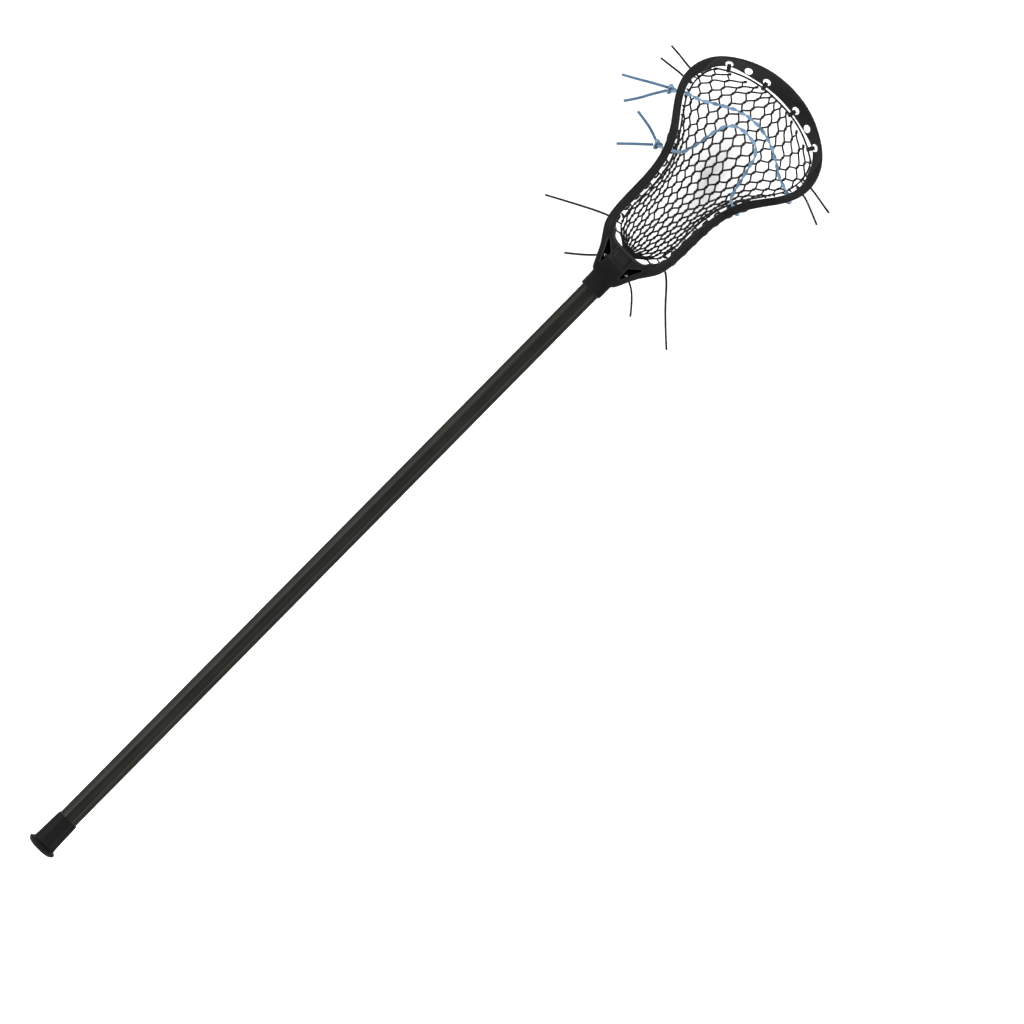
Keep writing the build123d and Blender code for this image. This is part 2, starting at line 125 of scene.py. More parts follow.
# ---------------------------------------------------------------------------
# Loose black string ends. Each sidewall string and the throat string is cut
# long after its knot, so thin braided nylon tails stick out of the head, four
# at the throat and four beside the widest part.
# ---------------------------------------------------------------------------
MOUTH_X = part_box("head")[0][0]
STRING_D = 0.0023


def new_material(name):
    """An empty node material with its shader; returns the material, its node tree and the shader."""
    material = bpy.data.materials.new(name)
    material.use_nodes = True
    tree = material.node_tree
    return material, tree, tree.nodes["Principled BSDF"]


def add_node(tree, kind, **inputs):
    """A node of that kind with its named sockets set."""
    node = tree.nodes.new(kind)
    for socket, value in inputs.items():
        node.inputs[socket].default_value = value
    return node


def object_place(tree):
    """The piece's own coordinates, in metres."""
    return tree.nodes.new("ShaderNodeTexCoord").outputs["Object"]


def texture(tree, kind, place, **inputs):
    """A texture of that kind, such as Noise, laid out by place."""
    node = add_node(tree, "ShaderNodeTex" + kind, **inputs)
    tree.links.new(place, node.inputs["Vector"])
    return node


def ramp(tree, source, stops):
    """A colour ramp on source with (position, colour) stops; a single number is a grey."""
    node = tree.nodes.new("ShaderNodeValToRGB")
    band = node.color_ramp
    while len(band.elements) < len(stops):
        band.elements.new(0.5)
    for element, (position, colour) in zip(band.elements, stops):
        element.position = position
        element.color = (*(colour if isinstance(colour, tuple) else (colour,) * 3), 1.0)
    tree.links.new(source, node.inputs["Fac"])
    return node.outputs["Color"]


def drive(tree, shader, socket, source, stops):
    """Drives a socket of the shader by a ramp on source."""
    tree.links.new(ramp(tree, source, stops), shader.inputs[socket])


def multiply_add(tree, source, factor, addend):
    """source times factor, plus addend."""
    node = tree.nodes.new("ShaderNodeMath")
    node.operation = "MULTIPLY_ADD"
    tree.links.new(source, node.inputs[0])
    node.inputs[1].default_value = factor
    tree.links.new(addend, node.inputs[2])
    return node.outputs[0]


def bump(tree, shader, heights, distance):
    """Chains bump nodes on the shader, one for each (source, strength)."""
    before = None
    for source, strength in heights:
        node = add_node(tree, "ShaderNodeBump", Strength=strength, Distance=distance)
        tree.links.new(source, node.inputs["Height"])
        if before:
            tree.links.new(before, node.inputs["Normal"])
        before = node.outputs["Normal"]
    tree.links.new(before, shader.inputs["Normal"])


def braid_material(name, dark, light, pitch, sheen):
    """Braided cord: crossed strands seen as small cells, with painted shade darker between them, and a soft
    fuzz.
    """
    material, tree, shader = new_material(name)
    place = object_place(tree)
    cells = texture(tree, "Voronoi", place, Scale=1.0 / pitch)
    fuzz = texture(tree, "Noise", place, Scale=2600.0, Detail=3.0)
    drift = texture(tree, "Noise", place, Scale=60.0, Detail=2.0)
    # Painted shade: the colour runs from light at each strand's middle to dark in the gaps between strands.
    shade = multiply_add(tree, cells.outputs["Distance"], 0.7, drift.outputs["Fac"])
    drive(tree, shader, "Base Color", shade, [(0.35, light), (0.95, dark)])
    drive(tree, shader, "Roughness", fuzz.outputs["Fac"], [(0.3, 0.6), (0.7, 0.85)])
    shader.inputs["Sheen Weight"].default_value = sheen
    shader.inputs["Specular IOR Level"].default_value = 0.2
    bump(tree, shader, [(cells.outputs["Distance"], 0.5), (fuzz.outputs["Fac"], 0.25)], 0.0003)
    return material


def head_point(h, y, z):
    """A point of the head in metres: h is measured from the socket's mouth, all three in millimetres."""
    return (MOUTH_X + h / 1000.0, y / 1000.0, z / 1000.0)


def soft_line(name, points, diameter, material, body="stick"):
    """A round string as one smooth open NURBS line through control points, bevelled to its diameter."""
    data = bpy.data.curves.new(name, "CURVE")
    data.dimensions = "3D"
    data.bevel_depth = diameter / 2
    data.bevel_resolution = 3
    data.resolution_u = 8
    data.use_fill_caps = True
    line = data.splines.new("NURBS")
    line.points.add(len(points) - 1)
    line.points.foreach_set("co", np.array([(*p, 1.0) for p in points]).ravel())
    line.order_u = 3
    line.use_endpoint_u = True
    data.materials.append(material)
    piece = bpy.data.objects.new(name, data)
    bpy.context.scene.collection.objects.link(piece)
    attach(piece, body)
    return piece


def line_length(points):
    """Length of that NURBS line: quadratic pieces between the middles of the runs, summed finely."""
    p = np.array(points)
    middle = (p[1:] + p[:-1]) / 2
    middle[0], middle[-1] = p[0], p[-1]
    t = np.linspace(0, 1, 40)[:, None]
    total = 0.0
    for start, corner, end in zip(middle, p[1:-1], middle[1:]):
        arc = (1 - t) ** 2 * start + 2 * t * (1 - t) * corner + t ** 2 * end
        total += np.linalg.norm(np.diff(arc, axis=0), axis=1).sum()
    return total


black_braid = braid_material("black braided nylon", (0.003, 0.003, 0.0035), (0.012, 0.012, 0.013),
                             0.0006, 0.04)

RAIL_Y = 38.2
black_ends = {
    "left_long_end": [(70, RAIL_Y, -20.2), (67, 47, -19.8), (53, 75, -21.4), (38.6, 102.4, -24.5)],
    "right_long_end": [(70, -RAIL_Y, -20.2), (66.5, -46, -19.8), (38, -70, -19.4), (12.6, -98, -21)],
    "left_short_end": [(37, 16.5, -20.6), (29.5, 23.5, -21.6), (20, 34, -24), (10.4, 46.6, -28)],
    "right_short_end": [(37, -16.5, -20.6), (34.8, -25, -22), (23.5, -38, -26.5), (11.4, -47.4, -33)],
    "left_scoop_end_1": [(224, 75.6, -13.4), (224, 90, -13.6), (222.2, 103.5, -15.4), (221.2, 116.2, -18.4)],
    "left_scoop_end_2": [(234, 74.6, -9.6), (234, 90, -10), (236.4, 103.6, -12), (237.4, 117, -15)],
    "right_scoop_end_1": [(224, -75.6, -13.4), (224, -86.5, -13.6), (217.6, -103, -15.4),
                          (211.6, -117.4, -18.4)],
    "right_scoop_end_2": [(234, -74.6, -9.6), (234, -86, -10), (231, -103.6, -12), (228.8, -117.6, -15)],
}
for name, route in black_ends.items():
    points = [head_point(*place) for place in route]
    end = soft_line("loose_" + name, points, STRING_D, black_braid)
    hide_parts(name)
    line_length(points)

# ---------------------------------------------------------------------------
# Loose blue lace ends, two from each knot on the left wall. The flat lace
# curls into a round tail of about 3 mm.
# ---------------------------------------------------------------------------
LACE_TAIL_D = 0.0030
lace_blue = braid_material("light blue lace tail", (0.040, 0.085, 0.150), (0.12, 0.215, 0.32),
                           0.0007, 0.1)
blue_ends = {
    "upper_lace_end_1": [(205.4, 90.6, -30), (199.5, 103, -37), (191.6, 117.6, -44), (183.4, 133.6, -50)],
    "upper_lace_end_2": [(202.4, 89.0, -30.6), (190, 97.4, -37), (177, 104.6, -44), (165.4, 113.4, -49)],
    "lower_lace_end_1": [(158.4, 60.6, -32), (163, 71.6, -36), (165.6, 83.4, -40.4), (167.4, 95.2, -43.5)],
    "lower_lace_end_2": [(153.2, 60.2, -32), (146.4, 68, -36), (138.6, 77, -41), (128.8, 87.6, -46)],
}
for name, route in blue_ends.items():
    points = [head_point(*place) for place in route]
    end = soft_line("loose_" + name, points, LACE_TAIL_D, lace_blue)
    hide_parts(name)
    line_length(points)

# ---------------------------------------------------------------------------
# Mesh tail. The narrow end of the knitted mesh is drawn out under the throat
# and hangs there as a round tail.
# ---------------------------------------------------------------------------
TAIL_D = 0.0060
tail_route = [(62, 0, -24.0), (53, 0, -26.5), (45.5, 0, -34), (41.5, 0, -47), (37.5, 0, -66)]
tail_points = [head_point(*place) for place in tail_route]
tail_braid = braid_material("black knitted tail", (0.006, 0.006, 0.006), (0.035, 0.035, 0.036), 0.0011, 0.2)
tail = soft_line("mesh_tail_strap", tail_points, TAIL_D, tail_braid)
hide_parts("mesh_tail")
line_length(tail_points)

# ---------------------------------------------------------------------------
# Shaft. An extruded alloy tube with eight slightly hollow flats and rounded
# ridges, finished in a dark olive anodised satin. Both ends are hidden.
# ---------------------------------------------------------------------------
shaft_low, shaft_high = (np.array(corner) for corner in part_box("shaft"))
shaft_wide, shaft_deep = shaft_high[1] - shaft_low[1], shaft_high[2] - shaft_low[2]
SHAFT_WALL = 0.0013
FLAT_HOLLOW = 0.00035
RIDGE_RADIUS = 0.0016
CORNER_SHARE = 0.30
POINTS_PER_FLAT, POINTS_PER_RIDGE = 9, 5
SHAFT_STATIONS = 60


def octagon_profile(wide, deep, ridge, hollow):
    """Closed octagon in (y, z): flats bowed inwards by half a sine wave, between rounded ridges."""
    cut = CORNER_SHARE * min(wide, deep)
    quarter = [(wide / 2, deep / 2 - cut), (wide / 2 - cut, deep / 2)]
    corners = quarter + [(-y, z) for y, z in quarter[::-1]]
    corners += [(-y, -z) for y, z in corners[:2]] + [(y, -z) for y, z in quarter[::-1]]
    corners = np.array(corners)
    before, after = np.roll(corners, 1, 0), np.roll(corners, -1, 0)
    to_before = (before - corners) / np.linalg.norm(before - corners, axis=1)[:, None]
    to_after = (after - corners) / np.linalg.norm(after - corners, axis=1)[:, None]
    start, end = corners + to_before * ridge, corners + to_after * ridge
    t = np.linspace(0, 1, POINTS_PER_RIDGE)[None, :, None]
    arcs = (1 - t) ** 2 * start[:, None] + 2 * t * (1 - t) * corners[:, None] + t ** 2 * end[:, None]
    next_start = np.roll(start, -1, 0)
    s = np.linspace(0, 1, POINTS_PER_FLAT + 2)[1:-1][None, :, None]
    flats = end[:, None] * (1 - s) + next_start[:, None] * s
    inward = -(end + next_start) / 2
    inward = inward / np.linalg.norm(inward, axis=1)[:, None]
    flats = flats + inward[:, None] * hollow * np.sin(np.pi * s)
    return np.concatenate([arcs, flats], axis=1).reshape(-1, 2)


def grid_faces(rows, columns, closed):
    """Quads of a rows by columns grid of points; closed joins the last column to the first."""
    r = np.arange(rows - 1)[:, None]
    c = np.arange(columns if closed else columns - 1)[None, :]
    n = (c + 1) % columns
    quads = [r * columns + c, r * columns + n, (r + 1) * columns + n, (r + 1) * columns + c]
    return np.stack(quads, axis=-1).reshape(-1, 4)


def capped_faces(rows, count):
    """Faces of a section of count points carried through rows of rings, with both ends closed."""
    ends = [list(range(count)), list(range((rows - 1) * count, rows * count))]
    return grid_faces(rows, count, True).tolist() + ends


def join_parts(parts):
    """One array of points and one list of faces from several (points, faces) parts."""
    points, faces, used = [], [], 0
    for part_points, part_faces in parts:
        points.append(part_points)
        faces += [[i + used for i in face] for face in part_faces]
        used += len(part_points)
    return np.concatenate(points), faces


def make_piece(name, points, faces, material, body="stick"):
    """A mesh object at the origin from whole arrays of points and a list of faces."""
    mesh = bpy.data.meshes.new(name)
    mesh.from_pydata(np.asarray(points).tolist(), [], [tuple(int(i) for i in face) for face in faces])
    mesh.materials.append(material)
    mesh.polygons.foreach_set("use_smooth", [True] * len(mesh.polygons))
    mesh.update()
    shape = bmesh.new()
    shape.from_mesh(mesh)
    bmesh.ops.recalc_face_normals(shape, faces=shape.faces)
    shape.to_mesh(mesh)
    shape.free()
    piece = bpy.data.objects.new(name, mesh)
    bpy.context.scene.collection.objects.link(piece)
    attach(piece, body)
    return piece


def sharpen(piece, degrees):
    """Splits the shading at edges sharper than the angle, by marking them."""
    shape = bmesh.new()
    shape.from_mesh(piece.data)
    for edge in shape.edges:
        edge.smooth = len(edge.link_faces) == 2 and edge.calc_face_angle(0) < math.radians(degrees)
    shape.to_mesh(piece.data)
    shape.free()


def satin_alloy(name):
    """Dark olive anodised alloy: fine lengthwise drawing lines, faint blotches and grain."""
    material, tree, shader = new_material(name)
    place = object_place(tree)
    stretch = tree.nodes.new("ShaderNodeMapping")
    stretch.inputs["Scale"].default_value = (0.02, 1.0, 1.0)
    tree.links.new(place, stretch.inputs["Vector"])
    lines = texture(tree, "Noise", stretch.outputs["Vector"], Scale=2400.0, Detail=4.0)
    blotch = texture(tree, "Noise", place, Scale=26.0, Detail=5.0)
    grain = texture(tree, "Noise", place, Scale=5200.0, Detail=2.0)
    olive = [(0.3, (0.008, 0.008, 0.0064)), (0.7, (0.012, 0.012, 0.0096))]
    drive(tree, shader, "Base Color", blotch.outputs["Fac"], olive)
    drive(tree, shader, "Roughness", lines.outputs["Fac"], [(0.3, 0.30), (0.7, 0.44)])
    shader.inputs["Metallic"].default_value = 0.10
    shader.inputs["Specular IOR Level"].default_value = 0.10
    bump(tree, shader, [(lines.outputs["Fac"], 0.10), (grain.outputs["Fac"], 0.06)], 0.0002)
    return material


outer = octagon_profile(shaft_wide, shaft_deep, RIDGE_RADIUS, FLAT_HOLLOW)
inner = octagon_profile(shaft_wide - 2 * SHAFT_WALL, shaft_deep - 2 * SHAFT_WALL, RIDGE_RADIUS, 0.0)
sides = len(outer)
along = np.linspace(shaft_low[0], shaft_high[0], SHAFT_STATIONS)
loops = [np.column_stack([np.full(sides, x), outer]) for x in along]
loops += [np.column_stack([np.full(sides, x), inner]) for x in along[::-1]]
loops.append(loops[0])
shaft_points = np.concatenate(loops[:-1])
shaft_faces = grid_faces(len(loops), sides, True) % len(shaft_points)
shaft = make_piece("shaft_tube", shaft_points, shaft_faces, satin_alloy("olive anodised alloy"))
sharpen(shaft, 40)
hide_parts("shaft")

# ---------------------------------------------------------------------------
# End cap. Moulded black rubber: a domed flange over the butt, then an
# eight-sided sleeve that tapers to a thin lip on the shaft. It is pushed on
# and rides on its own body.
# ---------------------------------------------------------------------------
cap_low, cap_high = (np.array(corner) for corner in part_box("end_cap"))
FLANGE_R = (cap_high[2] - cap_low[2]) / 2
CAP_RIDGE, CAP_HOLLOW = 0.0025, 0.0002
BORE_CLEARANCE = 0.0001
BORE_STEP = 0.010
SLEEVE_ROUND_R = 0.0140


def moulded_rubber(name):
    """Matt black rubber: fine pitting and a soft cloudy bloom, shinier where it is darker."""
    material, tree, shader = new_material(name)
    place = object_place(tree)
    pits = texture(tree, "Voronoi", place, Scale=1700.0)
    bloom = texture(tree, "Noise", place, Scale=90.0, Detail=6.0)
    fine = texture(tree, "Noise", place, Scale=2200.0, Detail=3.0)
    drive(tree, shader, "Base Color", bloom.outputs["Fac"], [(0.3, 0.002), (0.75, 0.006)])
    drive(tree, shader, "Roughness", bloom.outputs["Fac"], [(0.3, 0.5), (0.7, 0.72)])
    shader.inputs["Specular IOR Level"].default_value = 0.06
    bump(tree, shader, [(pits.outputs["Distance"], 0.12), (fine.outputs["Fac"], 0.2)], 0.0003)
    return material


def cap_ring(x, radius, octagonal, wide, deep):
    """One loop of the cap: a circle blended with an octagon of the same point count."""
    eight = octagon_profile(wide, deep, CAP_RIDGE, CAP_HOLLOW)
    angle = np.arctan2(eight[:, 1], eight[:, 0])
    circle = np.column_stack([np.cos(angle), np.sin(angle)]) * radius
    return np.column_stack([np.full(len(eight), x), circle * (1 - octagonal) + eight * octagonal])


cap_face = cap_low[0]
bore_wide, bore_deep = shaft_wide + BORE_CLEARANCE, shaft_deep + BORE_CLEARANCE
# The flange: distance from the cap's face, and radius.
flange = [(0.0, 0.0070), (0.0002, 0.0100), (0.0009, 0.0126), (0.0020, 0.0146), (0.0033, 0.0158),
          (0.0047, FLANGE_R), (0.0062, FLANGE_R - 0.0003), (0.0070, FLANGE_R - 0.0014),
          (0.0074, FLANGE_R - 0.0026)]
# The sleeve: distance from the cap's face, width beyond the bore, and how eight-sided it is.
sleeve = [(0.0082, 0.0052, 0.55), (0.0100, 0.0044, 0.85), (0.0150, 0.0040, 1.0), (0.0260, 0.0034, 1.0),
          (0.0360, 0.0028, 1.0), (0.0415, 0.0024, 1.0), (0.0426, 0.0018, 1.0),
          (cap_high[0] - cap_face, 0.0008, 1.0)]
cap_loops = [cap_ring(cap_face + dx, r, 0.0, bore_wide, bore_deep) for dx, r in flange]
cap_loops += [cap_ring(cap_face + dx, SLEEVE_ROUND_R, share, bore_wide + swell, bore_deep + swell)
              for dx, swell, share in sleeve]
cap_loops += [cap_ring(x, SLEEVE_ROUND_R, 1.0, bore_wide, bore_deep)
              for x in (cap_high[0], shaft_low[0] + BORE_STEP, shaft_low[0])]
cap_points = np.concatenate(cap_loops)
cap_faces = capped_faces(len(cap_loops), len(cap_loops[0]))
cap = make_piece("end_cap_rubber", cap_points, cap_faces, moulded_rubber("black moulded rubber"), body="cap")
sharpen(cap, 42)
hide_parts("end_cap")

# ---------------------------------------------------------------------------
# Head. One injection-moulded nylon frame: socket, forked throat, side walls
# with windows, string holes and a scoop. The moulded edges are all slightly
# rounded, and fine ribs run along the top of the side rails.
# ---------------------------------------------------------------------------
HEAD_LENGTH = 0.290
MOULD_VOXEL = 0.00085
EDGE_SMOOTHING = 4
WELD_DISTANCE = 1e-6
# Stations along the head: its half width in plan, and the height of its top edge.
OUTER_EDGE = np.array([(0, 12.7), (18, 14.4), (40, 25.6), (61, 38.6), (78, 42.2), (127, 44.0), (153, 48.4),
                       (178, 60.4), (206, 80.0), (227, 87.0), (252, 80.8), (275, 55.2), (290, 0)]) / 1000
TOP_LINE = np.array([(0, 15.4), (39, 15.6), (69, 10.3), (116, 2.7), (153, -3.0), (186, -5.2), (204, -3.9),
                     (219, 1.4), (234, 11.2), (256, 25.0), (273, 29.8), (290, 25.6)]) / 1000
RIB_DEPTH = 0.0006
RIB_PITCH = 0.0027
RIB_LAYER = 0.0009
RIB_START, RIB_END, RIB_FADE = 0.052, 0.243, 0.012
RIB_NEAR, RIB_FAR, RIB_SIDE_FADE = 0.0008, 0.0088, 0.0006


def hermite(table, x, column=1):
    """Smooth interpolation in a table of stations by cubics, each station's slope being its neighbours'."""
    x = np.asarray(x, float)
    last = len(table) - 1
    k = np.clip(np.searchsorted(table[:, 0], x, side="right") - 1, 0, last - 1)
    before = np.maximum(np.arange(last + 1) - 1, 0)
    after = np.minimum(np.arange(last + 1) + 1, last)
    slope = (table[after, column] - table[before, column]) / (table[after, 0] - table[before, 0])
    span = table[k + 1, 0] - table[k, 0]
    t = (x - table[k, 0]) / span
    rise = table[k + 1, column] - table[k, column]
    bend = (slope[k] * span - rise) * (1 - t) + (rise - slope[k + 1] * span) * t
    return table[k, column] + t * rise + t * (1 - t) * bend


def moulded_copy(node, name, voxel, smoothing):
    """A welded copy of a CAD node, remeshed evenly and smoothed so that its edges turn softly."""
    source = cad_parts[node]
    mesh = source.data.copy()
    mesh.materials.clear()
    shape = bmesh.new()
    shape.from_mesh(mesh)
    bmesh.ops.remove_doubles(shape, verts=shape.verts, dist=WELD_DISTANCE)
    shape.to_mesh(mesh)
    shape.free()
    copy = bpy.data.objects.new(name + "_source", mesh)
    bpy.context.scene.collection.objects.link(copy)
    remesh = copy.modifiers.new("even faces", "REMESH")
    remesh.mode = "VOXEL"
    remesh.voxel_size = voxel
    soften = copy.modifiers.new("soft edges", "SMOOTH")
    soften.factor = 0.5
    soften.iterations = smoothing
    depsgraph = bpy.context.evaluated_depsgraph_get()
    finished = bpy.data.meshes.new_from_object(copy.evaluated_get(depsgraph))
    bpy.data.objects.remove(copy)
    finished.name = name
    piece = bpy.data.objects.new(name, finished)
    bpy.context.scene.collection.objects.link(piece)
    finished.polygons.foreach_set("use_smooth", [True] * len(finished.polygons))
    return piece


def moulded_nylon(name):
    """Satin black moulded nylon: fine spark texture, faint flow marks, and a painted highlight as a lighter
    colour on proud edges.
    """
    material, tree, shader = new_material(name)
    place = object_place(tree)
    spark = texture(tree, "Noise", place, Scale=2600.0, Detail=3.0)
    flow = texture(tree, "Noise", place, Scale=38.0, Detail=5.0, Distortion=0.6)
    # Painted highlight: proud edges, found by their pointiness, are mixed towards a lighter grey than the
    # body.
    edge_pointiness = tree.nodes.new("ShaderNodeNewGeometry").outputs["Pointiness"]
    edges = ramp(tree, edge_pointiness, [(0.50, 0.0), (0.60, 1.0)])
    body = ramp(tree, flow.outputs["Fac"], [(0.3, (0.0025, 0.0027, 0.0028)), (0.7, (0.0048, 0.0050, 0.0051))])
    blend = tree.nodes.new("ShaderNodeMix")
    blend.data_type = "RGBA"
    tree.links.new(edges, blend.inputs["Factor"])
    tree.links.new(body, blend.inputs["A"])
    blend.inputs["B"].default_value = (0.016, 0.016, 0.017, 1.0)
    tree.links.new(blend.outputs["Result"], shader.inputs["Base Color"])
    drive(tree, shader, "Roughness", flow.outputs["Fac"], [(0.3, 0.36), (0.7, 0.50)])
    shader.inputs["Specular IOR Level"].default_value = 0.12
    bump(tree, shader, [(spark.outputs["Fac"], 0.12)], 0.0002)
    return material


head = moulded_copy("head", "moulded_head", MOULD_VOXEL, EDGE_SMOOTHING)
head_verts = np.zeros(len(head.data.vertices) * 3)
head.data.vertices.foreach_get("co", head_verts)
head_verts = head_verts.reshape(-1, 3)
h = head_verts[:, 0] - MOUTH_X
depth_below = hermite(TOP_LINE, h) - head_verts[:, 2]
stations = np.linspace(0, HEAD_LENGTH, 581)
edge_slope = np.gradient(hermite(OUTER_EDGE, stations), stations)
lean = 1 / np.sqrt(1 + np.interp(h, stations, edge_slope) ** 2)
inward = (hermite(OUTER_EDGE, h) - np.abs(head_verts[:, 1])) * lean
on_top = np.clip(1 - np.abs(depth_below) / RIB_LAYER, 0, 1)
along_rail = np.clip((h - RIB_START) / RIB_FADE, 0, 1) * np.clip((RIB_END - h) / RIB_FADE, 0, 1)
across_rail = np.clip((inward - RIB_NEAR) / RIB_SIDE_FADE, 0, 1)
across_rail *= np.clip((RIB_FAR - inward) / RIB_SIDE_FADE, 0, 1)
ribs = (0.5 - 0.5 * np.cos(2 * np.pi * inward / RIB_PITCH)) * RIB_DEPTH
head_verts[:, 2] -= ribs * on_top * along_rail * across_rail
head.data.vertices.foreach_set("co", head_verts.ravel())
head.data.update()
head.data.materials.append(moulded_nylon("satin black nylon"))
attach(head, "stick")
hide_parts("head")


def refinish(node, material):
    """Gives a CAD node that keeps its own shape a new material."""
    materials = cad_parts[node].data.materials
    materials.clear()
    materials.append(material)


# The head's screw has a black oxide finish.
screw_finish, screw_tree, screw_shader = new_material("black oxide steel")
screw_noise = texture(screw_tree, "Noise", object_place(screw_tree), Scale=1500.0, Detail=4.0).outputs["Fac"]
oxide = [(0.3, (0.02, 0.02, 0.022)), (0.7, (0.06, 0.06, 0.064))]
drive(screw_tree, screw_shader, "Base Color", screw_noise, oxide)
drive(screw_tree, screw_shader, "Roughness", screw_noise, [(0.3, 0.3), (0.7, 0.5)])
screw_shader.inputs["Metallic"].default_value = 0.9
bump(screw_tree, screw_shader, [(screw_noise, 0.1)], 0.0001)
refinish("head_screw", screw_finish)

# The ball stop is a strip of closed-cell foam stuck inside the throat's curve.
foam, foam_tree, foam_shader = new_material("black foam")
foam_cells = texture(foam_tree, "Voronoi", object_place(foam_tree), Scale=1400.0).outputs["Distance"]
# Painted shade: each foam cell is darker in its hollow middle and lighter on its walls.
drive(foam_tree, foam_shader, "Base Color", foam_cells, [(0.2, 0.012), (0.8, (0.035, 0.035, 0.036))])
foam_shader.inputs["Roughness"].default_value = 0.9
bump(foam_tree, foam_shader, [(foam_cells, 0.6)], 0.0004)
refinish("ball_stop", foam)

# ---------------------------------------------------------------------------
# Mesh pocket. Knitted nylon mesh with long six-sided cells, laced to the
# lower rails, drawn together at the throat and tied along the scoop. It sags
# into a ball pocket behind the narrow part of the head.
# ---------------------------------------------------------------------------
STRAND_R = 0.00104
KNOT_R, KNOT_END_R = 0.00155, 0.0006
KNOT_WAIST = 0.92
KNOT_REACH = 0.15
LINK_START = 0.8
EDGE_CORD_R, TIE_R = 0.00095, 0.0009
MESH_ROWS, HALF_COLUMNS = 20, 12
FIRST_ROW, LAST_ROW = 0.0535, 0.2708
BOW_START, BOW_DEPTH = 0.45, 0.0205
ROW_JITTER, COLUMN_JITTER, SLACK, TIE_JITTER = 0.00045, 0.012, 0.0004, 0.0012
GIRTH_STEPS = 60
UP = np.array([0.02, 0.03, 1.0])
TIE_UP = np.array([0.3, 0.03, 1.0])
# Stations along the head: the pocket's half width, the height of its edge and of its lowest line.
POCKET = np.array([(53, 3.5, -20.5, -22.0), (58, 10.0, -21.0, -23.2), (64, 18.6, -21.4, -24.6),
                   (70, 24.4, -21.7, -26.4), (80, 28.4, -21.8, -29.0), (92, 30.2, -21.8, -33.4),
                   (106, 30.4, -21.8, -39.4), (130, 31.0, -21.8, -50.6), (154, 35.6, -21.8, -58.0),
                   (176, 46.0, -21.4, -54.6), (196, 59.6, -17.8, -36.0), (214, 70.8, -10.8, -21.0),
                   (234, 74.0, 0.6, -9.6), (252, 66.4, 8.0, 1.0), (272, 42.0, 11.4, 9.0)]) / 1000


def sag(u):
    """Share of the pocket's depth at the share u of its half width."""
    return (1 - u ** 2.8) ** 0.85


def pocket_surface(h, t):
    """Points of the mesh surface: h along the head, t from -1 to 1 across it by girth.

    The place across a section is found from t by summing the section's girth and reading it off."""
    h, t = np.broadcast_arrays(np.asarray(h, float), np.asarray(t, float))
    flat_h, flat_t = h.ravel(), t.ravel()
    half, edge_z, low_z = (hermite(POCKET, flat_h, column) for column in (1, 2, 3))
    u = np.linspace(0, 1, GIRTH_STEPS + 1)[None, :]
    z = edge_z[:, None] - (edge_z - low_z)[:, None] * sag(u)
    y = half[:, None] * u
    girth = np.cumsum(np.hypot(np.diff(y, axis=1), np.diff(z, axis=1)), axis=1)
    girth = np.concatenate([np.zeros((len(flat_h), 1)), girth], axis=1)
    wanted = np.clip(np.abs(flat_t), 0, 1)[:, None] * girth[:, -1:]
    k = np.clip((girth <= wanted).sum(axis=1) - 1, 0, GIRTH_STEPS - 1)
    rows = np.arange(len(flat_h))
    share = (wanted[:, 0] - girth[rows, k]) / np.maximum(girth[rows, k + 1] - girth[rows, k], 1e-9)
    y_at = y[rows, k] * (1 - share) + y[rows, k + 1] * share
    z_at = z[rows, k] * (1 - share) + z[rows, k + 1] * share
    points = np.column_stack([MOUTH_X + flat_h, np.sign(flat_t) * y_at, z_at])
    return points.reshape(h.shape + (3,))


def row_place(row, t):
    """Distance along the head of a mesh row: rows bow back at their sides towards the scoop end."""
    share = row / MESH_ROWS
    bow = np.clip((share - BOW_START) / (1 - BOW_START), 0, 1) ** 1.6
    return FIRST_ROW + (LAST_ROW - FIRST_ROW) * share - bow * BOW_DEPTH * np.abs(t) ** 2.2


def strand_tubes(paths, radii, sides, up=UP):
    """Capped tubes along n short paths at once: paths is (n, k, 3), radii one number or k of them."""
    n, k, _ = paths.shape
    ahead = np.gradient(paths, axis=1)
    ahead /= np.linalg.norm(ahead, axis=2, keepdims=True)
    first = up - (up * ahead).sum(axis=2, keepdims=True) * ahead
    first /= np.linalg.norm(first, axis=2, keepdims=True)
    second = np.cross(ahead, first)
    turn = np.linspace(0, 2 * np.pi, sides, endpoint=False)[:, None]
    ring = np.cos(turn) * first[:, :, None] + np.sin(turn) * second[:, :, None]
    points = paths[:, :, None] + ring * np.broadcast_to(radii, k)[:, None, None]
    tube = grid_faces(k, sides, True)
    offsets = (np.arange(n) * k * sides)[:, None, None]
    faces = (tube[None] + offsets).reshape(-1, 4).tolist()
    caps = np.stack([np.arange(sides)[::-1], np.arange(sides) + (k - 1) * sides])
    faces += (caps[None] + offsets).reshape(-1, sides).tolist()
    return points.reshape(-1, 3), faces


def rail_place(h_mm, inset_mm, side, z_mm):
    """A point beside the lower rail: its outline moved inwards by the inset, square to the outline."""
    h_m = h_mm / 1000
    slope = (hermite(OUTER_EDGE, h_m + 0.002) - hermite(OUTER_EDGE, h_m - 0.002)) / 0.004
    y = hermite(OUTER_EDGE, h_m) - inset_mm / 1000 * np.sqrt(1 + slope ** 2)
    return np.array([MOUTH_X + h_m, side * float(y), z_mm / 1000])


rng = np.random.default_rng(7)
row_shift = rng.normal(0, ROW_JITTER, (MESH_ROWS + 2, 2 * HALF_COLUMNS + 3))
column_shift = rng.normal(0, COLUMN_JITTER, (MESH_ROWS + 2, 2 * HALF_COLUMNS + 3))
rows, cols = np.meshgrid(np.arange(MESH_ROWS + 1), np.arange(-HALF_COLUMNS, HALF_COLUMNS + 1), indexing="ij")
is_knot = (rows + cols) % 2 == 0
knot_rows, knot_cols = rows[is_knot], cols[is_knot]


